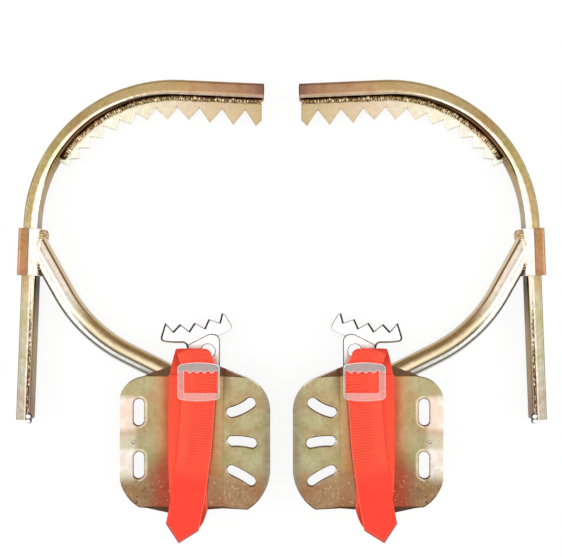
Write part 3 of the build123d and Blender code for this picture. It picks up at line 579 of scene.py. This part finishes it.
def grid_faces(rows, columns):
    """Quads of a grid whose columns close on themselves, and a fan of quads over each end."""
    row, column = np.meshgrid(np.arange(rows - 1), np.arange(columns), indexing="ij")
    beside = (column + 1) % columns
    faces = np.stack([row * columns + column, row * columns + beside,
                      (row + 1) * columns + beside, (row + 1) * columns + column], axis=-1).reshape(-1, 4)
    half = np.arange(columns // 2 - 1)
    cap = np.stack([half, columns - 1 - half, columns - 2 - half, half + 1], axis=-1)
    last = (rows - 1) * columns + cap[:, ::-1]
    return np.concatenate([faces, cap, last])[:, ::-1]


def make_piece(name, points, faces, flip, material, body):
    """Mesh object at the origin from points in millimetres, mirrored in X where flip is -1."""
    if flip < 0:
        points = points * np.array([-1.0, 1.0, 1.0])
        faces = faces[:, ::-1]
    mesh = bpy.data.meshes.new(name)
    mesh.from_pydata((points * MM).tolist(), [], faces.tolist())
    mesh.polygons.foreach_set("use_smooth", np.ones(len(mesh.polygons), bool))
    mesh.materials.append(material)
    mesh.update()
    piece = bpy.data.objects.new(name, mesh)
    bpy.context.scene.collection.objects.link(piece)
    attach(piece, body)
    return piece


def bell(value, middle, spread):
    """Bell curve that is 1 at the middle."""
    return np.exp(-0.5 * ((value - middle) / spread) ** 2)


def rise(value, first, last):
    """Share that goes evenly from 0 at the first value to 1 at the last."""
    return np.clip((value - first) / (last - first), 0.0, 1.0)


def averaged(values, step, spread):
    """Columns averaged along their rows with a bell curve of the given spread, their ends turned through."""
    reach = int(4 * spread / step)
    weights = bell(np.arange(-reach, reach + 1) * step, 0.0, spread)
    before = 2 * values[0] - values[reach:0:-1]
    after = 2 * values[-1] - values[-2:-reach - 2:-1]
    padded = np.concatenate([before, values, after])
    return np.stack([np.convolve(column, weights / weights.sum(), "valid") for column in padded.T], axis=1)


def running_length(line):
    """Length along a line up to each of its points."""
    return np.concatenate([[0.0], np.cumsum(np.linalg.norm(np.diff(line, axis=0), axis=1))])


def strap_course(step):
    """The strap's outline in height, the length along it, and its place across, with rounded corners."""
    fold_round = 0.75
    sideways_round = 5.0
    line = STRAP_LINE
    for _ in range(2):
        length = running_length(line)
        even = np.arange(0.0, length[-1], step)
        line = np.stack([np.interp(even, length, column) for column in line.T], axis=1)
        line = averaged(line, step, fold_round)
    outline = line[:, 1:]
    return outline, running_length(outline), averaged(line[:, :1], step, sideways_round)[:, 0]


def strap_surface(width, thick, rib):
    """Ribbon of webbing laid out flat, then folded along lines across the pedal.

    Flat, a point is s along the strap's middle line and w to its right. Its way forward then goes round the
    strap's outline in height, and its way across stays. Half the thickness, raised by a cosine of s for the
    ribs, goes along the outline's normal. The two outer folds draw back towards their inner corners by a
    power of w and a bell curve of s. The last threads are shortened to the cut of the point.
    """
    step = rib / 6
    outline, length, middle = strap_course(step)
    lean = np.arctan(np.gradient(middle, length))
    way = np.gradient(outline, length, axis=0)
    total = length[-1] - STRAP_SPARE
    rows = np.arange(0.0, total, step)
    # Points across the upper face and back across the lower one, closest at the edges and just short of them
    place = -np.cos(np.linspace(0.0, np.pi, ACROSS_POINTS)) * EDGE_SHARE
    u = np.concatenate([place, place[::-1]])
    up = np.repeat([1.0, -1.0], len(place))
    w = u * width / 2
    shortened = 1 - TAIL_POINT / TAIL_TAPER * np.abs(u)
    whole = np.minimum(rows, total - TAIL_TAPER)[:, None]
    s = whole + np.maximum(rows - total + TAIL_TAPER, 0.0)[:, None] * shortened
    turn = np.interp(s, length, lean)
    x = np.interp(s, length, middle) + w * np.cos(turn)
    forward = s - w * np.sin(turn)
    y, z, way_y, way_z = [np.interp(forward, length, column) for column in (*outline.T, *way.T)]
    # The selvage has ribs of half the pitch, and the ribs fade towards the point
    selvage = rise(np.abs(u), *SELVAGE)
    fade = np.maximum(rise(total - s, *RIB_FADE), RIB_LEAST)
    ribs = (1 - selvage) * np.cos(2 * np.pi * s / rib)
    ribs = ribs + selvage * SELVAGE_RIBS * np.cos(4 * np.pi * s / rib)
    height = up * np.sqrt(1 - np.abs(u) ** EDGE_POWER) * (thick / 2 + RIB_HEIGHT * fade * ribs)
    rear = length[np.argmin(outline[:len(outline) // 2, 0])]
    front = length[np.argmax(outline[:, 0])]
    y = y + REAR_PULL * rise(u, 0.3, 1.0) ** 2.2 * bell(forward, rear, REAR_SPREAD)
    drawn = FRONT_PULL * rise(u, 0.6, 1.0) ** 2 + FRONT_BOW * u ** 2
    y = y - drawn * bell(forward, front, FRONT_SPREAD)
    points = np.stack([x, y + height * way_z, z - height * way_y], axis=-1)
    weave = np.stack([np.broadcast_to(w, s.shape), s], axis=-1) * MM
    return points.reshape(-1, 3), grid_faces(len(rows), len(u)), weave.reshape(-1, 2), front, total


class StrapSettings(bpy.types.PropertyGroup):
    """Sizes and colour of the straps and buckles."""
    width: bpy.props.FloatProperty(
        name="Width", description="Width of the webbing", default=WEBBING * MM, unit="LENGTH")
    thickness: bpy.props.FloatProperty(
        name="Thickness", description="Thickness of the webbing", default=1.7 * MM, unit="LENGTH")
    rib: bpy.props.FloatProperty(
        name="Rib", description="Pitch of the woven ribs", default=2.9 * MM, unit="LENGTH")
    colour: bpy.props.FloatVectorProperty(
        name="Webbing", description="Colour of the webbing", size=4, subtype="COLOR",
        default=linear("#f75339"))
    buckle: bpy.props.FloatVectorProperty(
        name="Buckle", description="Colour of the buckles", size=4, subtype="COLOR",
        default=linear("#d3c4be"))


class WeldSettings(bpy.types.PropertyGroup):
    """Sizes of the weld beads."""
    ripple: bpy.props.FloatProperty(
        name="Ripple", description="Distance between ripples of a bead", default=2.8 * MM, unit="LENGTH")
    swell: bpy.props.FloatProperty(
        name="Swell", description="How much a bead's size wanders, as a share", default=0.12,
        subtype="FACTOR")


class StageSettings(bpy.types.PropertyGroup):
    """Light and camera of the studio."""
    overhead: bpy.props.FloatProperty(
        name="Overhead", description="Power of the overhead softbox", default=8.0, unit="POWER")
    strips: bpy.props.FloatProperty(
        name="Strips", description="Power of each side strip", default=9.0, unit="POWER")
    eye: bpy.props.FloatVectorProperty(
        name="Camera", description="Place of the camera", subtype="XYZ", default=(-0.0006, 0.03395, 0.669))
    lens: bpy.props.FloatProperty(name="Lens", description="Focal length in millimetres", default=36.19)


class CLIMBER_OT_weave_straps(bpy.types.Operator):
    """Weave both straps through their pedals and buckles"""
    bl_idname = "climber.weave_straps"
    bl_label = "Webbing straps"

    def execute(self, context):
        """Build each strap and lay it where its solid is."""
        settings = context.scene.climber_strap
        points, faces, weave, front, total = strap_surface(
            settings.width / MM, settings.thickness / MM, settings.rib / MM)
        cloth = webbing_cloth(settings.colour, settings.rib, front * MM, total * MM)
        for side, flip in SIDES:
            piece = make_piece(f"{side}_webbing", points, faces, flip, cloth, f"{side}_climber")
            mesh = piece.data
            corner = np.zeros(len(mesh.loops), int)
            mesh.loops.foreach_get("vertex_index", corner)
            mesh.uv_layers.new(name="weave").data.foreach_set("uv", weave[corner].ravel())
            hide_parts(f"{side}_strap")
        return {"FINISHED"}


def hook_line(along, depth):
    """Points in the flat at a depth inside the hook: a circle round the bend before 0, straight after it."""
    turn = np.pi / 2 - BAR_DROOP - np.minimum(along, 0.0) / BEND_R
    out = np.stack([np.cos(turn), np.sin(turn)], axis=1)
    return BEND + out * (BEND_R - depth) + np.maximum(along, 0.0)[:, None] * BAR_WAY[:2]


def straight_line(start, end, step=0.4):
    """Points from start to end at an even step."""
    start, end = np.array(start, float), np.array(end, float)
    share = np.linspace(0.0, 1.0, int(np.linalg.norm(end - start) / step) + 2)[:, None]
    return start + (end - start) * share


def weld_bead(bead, ripple, swell, seed):
    """Bead along a path: ovals whose size rises once a ripple, leans back at the sides and wanders.

    The crest of a point runs from 0 in a hollow to 1 on a worn ripple; its wear and painted shade shift it,
    and it is painted higher on the side where the bead is lit. Grains of spatter, about a millimetre across,
    sparkle most on that side as painted glints.
    """
    length = running_length(bead.path)
    way = np.gradient(bead.path, axis=0)
    way /= np.linalg.norm(way, axis=1)[:, None]
    side = np.cross(way, bead.upward)
    side /= np.linalg.norm(side, axis=1)[:, None]
    over = np.cross(side, way)
    angle = np.linspace(0.0, 2 * np.pi, BEAD_COLUMNS, endpoint=False)
    s = length[:, None] + RIPPLE_LEAN * ripple * np.cos(angle) ** 2
    rng = np.random.default_rng(seed)
    wander = np.zeros_like(s)
    for wave in WANDER_WAVES:
        phase = rng.uniform(0, 2 * np.pi, 2)
        turn = 2 * np.pi * length[:, None] / (wave * ripple)
        wander = wander + np.sin(turn + phase[0] + np.sin(angle + phase[1])) / WANDER_PARTS
    # Spatter: random values, averaged over neighbours round the bead and along it
    grain = rng.normal(size=s.shape)
    grain = grain + np.roll(grain, 1, axis=1)
    grain = grain[:-1] + grain[1:]
    grain = np.concatenate([grain, grain[-1:]]) / 2
    waves = np.cos(2 * np.pi * s / ripple)
    wide, high = [np.broadcast_to(half, length.shape)[:, None, None] for half in bead.size]
    taper = np.sqrt(np.clip(np.minimum(length, length[-1] - length) / BEAD_TAPER, BEAD_LEAST, 1.0))
    size = taper[:, None] * (1 + RIPPLE_RISE * waves + swell * wander + GRAIN_RISE * grain)
    ring = wide * np.cos(angle)[:, None] * side[:, None, :] + high * np.sin(angle)[:, None] * over[:, None, :]
    points = bead.path[:, None, :] + ring * size[..., None]
    # Painted light: the lit side of the bead is paler, and its grains sparkle there
    lit = bead.lit * np.cos(angle)
    crest = bead.rubbed[:, None] + lit + 0.1 * waves + 0.1 * wander
    crest = crest + (bead.sparkle + 0.5 * np.maximum(lit, 0.0)) * grain
    return points.reshape(-1, 3), grid_faces(len(length), BEAD_COLUMNS), np.clip(crest, 0.0, 1.0).ravel()


def plain_bead(path, size, rubbed):
    """Bead that is alike all the way: its path, its half width and half height, and how pale its ripples are.
    """
    return SimpleNamespace(
        path=path, upward=UP, size=size, rubbed=np.full(len(path), rubbed), lit=0.0, sparkle=0.12)


def rail_beads():
    """Bead above the tooth rail and a smaller one below it.

    Both are pale towards the leg, where they were ground, with a dark burn at the very end.
    """
    along = np.arange(*RAIL_RUN, 0.45)
    ground = np.interp(along, [-173.0, -167.0, -160.0, -150.0, -115.0], [0.05, 0.1, 0.55, 0.52, 0.37])
    beads = []
    # Each bead's middle, inward from the rail's root and up from its face, and its half width and half height
    for face, inside, lift, size in (
            (RAIL_FACES[0], 2.2, 0.7, (3.4, 2.5)), (RAIL_FACES[1], 0.9, -0.2, (1.6, 1.0))):
        flat = hook_line(along, RAIL_ROOT + inside)
        path = np.column_stack([flat, np.full(len(flat), face + lift)])
        beads.append(SimpleNamespace(path=path, upward=UP, size=size, rubbed=ground, lit=0.3, sparkle=0.14))
    return beads


def collar_beads():
    """Bead round the arm where it meets the collar, an oval that is flatter below.

    It is white along the sides, broad and tan at the upper end, and drips into the crotch at the lower, where
    it is painted dark as shade.
    """
    flatter = 2.6
    slant = COLLAR_WAY @ LEG_OUT
    collar_face = np.array([*BEND, ARM_Z]) + LEG_OUT * (BEND_R - COLLAR_HALF)
    foot = ARM_KNEE + COLLAR_WAY * ((collar_face - ARM_KNEE) @ LEG_OUT) / slant
    turn = np.linspace(-np.pi, np.pi, 320)
    half_high = np.where(np.sin(turn) > 0, ARM_R, ARM_R - flatter)
    oval = np.cos(turn)[:, None] * LEG_WAY * ARM_R / slant + (np.sin(turn) * half_high)[:, None] * UP
    lower, upper = [np.clip(2.0 * end * np.cos(turn) - 0.7, 0.0, 1.0) for end in (1, -1)]
    path = foot + oval - LEG_OUT * (0.4 + 1.2 * upper)[:, None] - LEG_WAY * 1.5 * upper[:, None]
    size = (1.7 + 1.7 * upper + 1.3 * lower, 1.7 + 1.4 * upper + 1.1 * lower)
    # Painted shade darkens the bead in the crotch at its lower end
    return [SimpleNamespace(
        path=path, upward=LEG_OUT, size=size, rubbed=1.15 - 1.1 * lower - 0.48 * upper, lit=0.0,
        sparkle=0.08 + 0.35 * lower[:, None])]


def pedal_beads():
    """Beads between the arm and the underside of the pedal, a long one behind it and a short one ahead."""
    sideways = 8.9
    above = 11.1
    end = ARM_KNEE + PEDAL_WAY * ARM_ALONG
    beads = []
    for hand, first, last in ((-1, 6.0, 70.0), (1, 6.0, 30.0)):
        offset = hand * PEDAL_ACROSS * sideways + UP * above
        path = straight_line(end - PEDAL_WAY * first + offset, end - PEDAL_WAY * last + offset)
        beads.append(plain_bead(path, (2.0, 1.8), 0.45))
    return beads


def bracket_beads():
    """Bead along the front of the arm under the claw's bracket."""
    ahead = 13.3
    below = 1.3
    middle = ARM_KNEE + PEDAL_WAY * (BRACKET_MID - ARM_KNEE[0]) / PEDAL_WAY[0]
    middle = middle + PEDAL_ACROSS * ahead - UP * below
    half = PEDAL_WAY * BRACKET_WELD_HALF
    return [plain_bead(straight_line(middle - half, middle + half), (1.5, 1.5), 0.5)]


def claw_beads():
    """Bead along the stem of the claw."""
    return [plain_bead(straight_line(*CLAW_WELD), (1.4, 1.4), 0.6)]


WELDS = {"rail_welds": rail_beads, "collar_weld": collar_beads, "pedal_welds": pedal_beads,
         "bracket_weld": bracket_beads, "claw_weld": claw_beads}


class CLIMBER_OT_lay_weld_beads(bpy.types.Operator):
    """Lay the weld beads along every welded corner"""
    bl_idname = "climber.lay_weld_beads"
    bl_label = "Weld beads"

    def execute(self, context):
        """Build each bead where its solid is."""
        settings = context.scene.climber_weld
        metal = weld_metal()
        for node, beads in WELDS.items():
            for number, bead in enumerate(beads()):
                points, faces, crest = weld_bead(bead, settings.ripple / MM, settings.swell, number)
                for side, flip in SIDES:
                    body = f"{side}_hook" if node == "rail_welds" else f"{side}_climber"
                    piece = make_piece(f"{side}_{node}_bead_{number}", points, faces, flip, metal, body)
                    piece.data.attributes.new("crest", "FLOAT", "POINT").data.foreach_set("value", crest)
                    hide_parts(f"{side}_{node}")
        return {"FINISHED"}


class CLIMBER_OT_plate_steel(bpy.types.Operator):
    """Give every steel piece its zinc plate"""
    bl_idname = "climber.plate_steel"
    bl_label = "Zinc plate"

    def execute(self, context):
        """Put each plating on the nodes that it belongs to."""
        bright = bright_plating("clear_chromate_zinc_plate", 0.96, 0.84, 0.15)
        drops = bright_plating("clear_chromate_zinc_drops", 0.8, 0.5, 0.9)
        platings = {
            "hook_bar": hook_plating(), "tooth_rail": tooth_plating(), "collar": collar_plating(),
            "arm_tube": arm_plating(), "pedal_plate": pedal_plating(), "claw_bracket": bright, "claw": bright,
            "leg_stop": drops,
        }
        for side, _ in SIDES:
            for node, material in platings.items():
                coat(f"{side}_{node}", material)
        return {"FINISHED"}


class CLIMBER_OT_mould_buckles(bpy.types.Operator):
    """Give both buckles their translucent plastic"""
    bl_idname = "climber.mould_buckles"
    bl_label = "Buckles"

    def execute(self, context):
        """Put the plastic on both buckles."""
        plastic = clear_moulding(context.scene.climber_strap.buckle)
        for side, _ in SIDES:
            coat(f"{side}_strap_buckle", plastic)
        return {"FINISHED"}


def paper_floor(scene):
    """White paper under the object, almost pure white to the camera and a plain dull white to the light."""
    material, add = start_material("white_paper_floor")
    camera, glossy, clear = [
        add((RAYS, (), ray, {})) for ray in ("Is Camera Ray", "Is Glossy Ray", "Is Transmission Ray")]
    seen = add(LARGER, add(LARGER, camera, glossy), clear)
    paper = add(DULL, "#fdfdfd")
    glow = add(GLOW, "#ffffff", 1.0)
    add(OUTPUT, add(EITHER, add(BOTH, seen, 0.88), paper, glow))
    reach = 6.0
    mesh = bpy.data.meshes.new("floor")
    corners = [(-reach, -reach, 0.0), (reach, -reach, 0.0), (reach, reach, 0.0), (-reach, reach, 0.0)]
    mesh.from_pydata(corners, [], [(0, 1, 2, 3)])
    mesh.materials.append(material)
    floor = bpy.data.objects.new("floor", mesh)
    scene.collection.objects.link(floor)


def studio_world(scene):
    """Walls and ceiling: grey ahead and behind, so that the lips go dark, and white to the left and right."""
    world = bpy.data.worlds.new("studio")
    scene.world = world
    world.use_nodes = True
    world.node_tree.nodes.clear()
    add = partial(add_node, world.node_tree)
    sideways, _, upward = add(AXES, add(SKYWARD))
    ahead = add(RAMP, upward, stops=[
        (0.0, "#f4f4f4"), (0.06, "#e8e8e8"), (0.16, "#b8b8b8"), (0.7, "#b8b8b8"), (0.86, "#ececec"),
        (1.0, "#f6f6f6")])
    beside = add(RAMP, upward, stops=[
        (0.0, "#f4f4f4"), (0.16, "#ffffff"), (0.7, "#ffffff"), (0.86, "#eeeeee"), (1.0, "#f6f6f6")])
    sky = add(TINT, add(EASE, add(SIZE, sideways), 0.25, 0.7), ahead, beside)
    add(WORLD_OUTPUT, add(SKY, sky, 1.0))


def studio_lamps(scene, overhead, strips):
    """A softbox overhead and a long strip on each side: place, size along and across, tilt and power."""
    for name, place, size, turn, power in (
            ("overhead_softbox", (0.0, 0.0, 2.2), (1.6, 1.6), (0.0, 0.0, 0.0), overhead),
            ("left_strip", (-1.6, 0.0, 0.9), (1.8, 0.5), (0.0, -1.05, 0.0), strips),
            ("right_strip", (1.6, 0.0, 0.9), (1.8, 0.5), (0.0, 1.05, 0.0), strips)):
        data = bpy.data.lights.new(name, "AREA")
        data.shape = "RECTANGLE"
        data.size_y, data.size = size
        data.energy = power
        lamp = bpy.data.objects.new(name, data)
        lamp.location = place
        lamp.rotation_euler = turn
        lamp.visible_camera = False
        scene.collection.objects.link(lamp)


def overhead_camera(scene, eye, lens):
    """Camera that looks straight down."""
    camera = bpy.data.objects.new("camera", bpy.data.cameras.new("camera"))
    camera.data.lens = lens
    camera.data.sensor_width = 36.0
    camera.location = eye
    scene.collection.objects.link(camera)
    scene.camera = camera
    scene.view_settings.view_transform = "Standard"


class CLIMBER_OT_set_stage(bpy.types.Operator):
    """Set the white floor, the soft light and the camera straight above"""
    bl_idname = "climber.set_stage"
    bl_label = "Studio"

    def execute(self, context):
        """Build the floor, the world, the lamps and the camera."""
        settings = context.scene.climber_stage
        paper_floor(context.scene)
        studio_world(context.scene)
        studio_lamps(context.scene, settings.overhead, settings.strips)
        overhead_camera(context.scene, settings.eye, settings.lens)
        return {"FINISHED"}


class CLIMBER_PT_dressing(bpy.types.Panel):
    """Lists the settings and the steps."""
    bl_idname = "CLIMBER_PT_dressing"
    bl_label = "Hook climbers"
    bl_space_type = "VIEW_3D"
    bl_region_type = "UI"
    bl_category = "Climbers"

    def draw(self, context):
        """Show each setting, then a button for each step."""
        for group in (context.scene.climber_strap, context.scene.climber_weld, context.scene.climber_stage):
            for name in group.__annotations__:
                self.layout.prop(group, name)
        for step in STEPS:
            self.layout.operator(step.bl_idname)


GROUPS = {"climber_strap": StrapSettings, "climber_weld": WeldSettings, "climber_stage": StageSettings}
STEPS = (CLIMBER_OT_weave_straps, CLIMBER_OT_lay_weld_beads, CLIMBER_OT_plate_steel, CLIMBER_OT_mould_buckles,
         CLIMBER_OT_set_stage)


def register():
    """Register the settings, the steps and the panel."""
    for name, group in GROUPS.items():
        bpy.utils.register_class(group)
        setattr(bpy.types.Scene, name, bpy.props.PointerProperty(type=group))
    for step in (*STEPS, CLIMBER_PT_dressing):
        bpy.utils.register_class(step)


def unregister():
    """Take the settings, the steps and the panel away again."""
    for step in (CLIMBER_PT_dressing, *STEPS):
        bpy.utils.unregister_class(step)
    for name, group in GROUPS.items():
        delattr(bpy.types.Scene, name)
        bpy.utils.unregister_class(group)


def main():
    """Dress the frame."""
    register()
    bpy.ops.climber.weave_straps()
    bpy.ops.climber.lay_weld_beads()
    bpy.ops.climber.plate_steel()
    bpy.ops.climber.mould_buckles()
    bpy.ops.climber.set_stage()


if __name__ == "__main__":
    main()
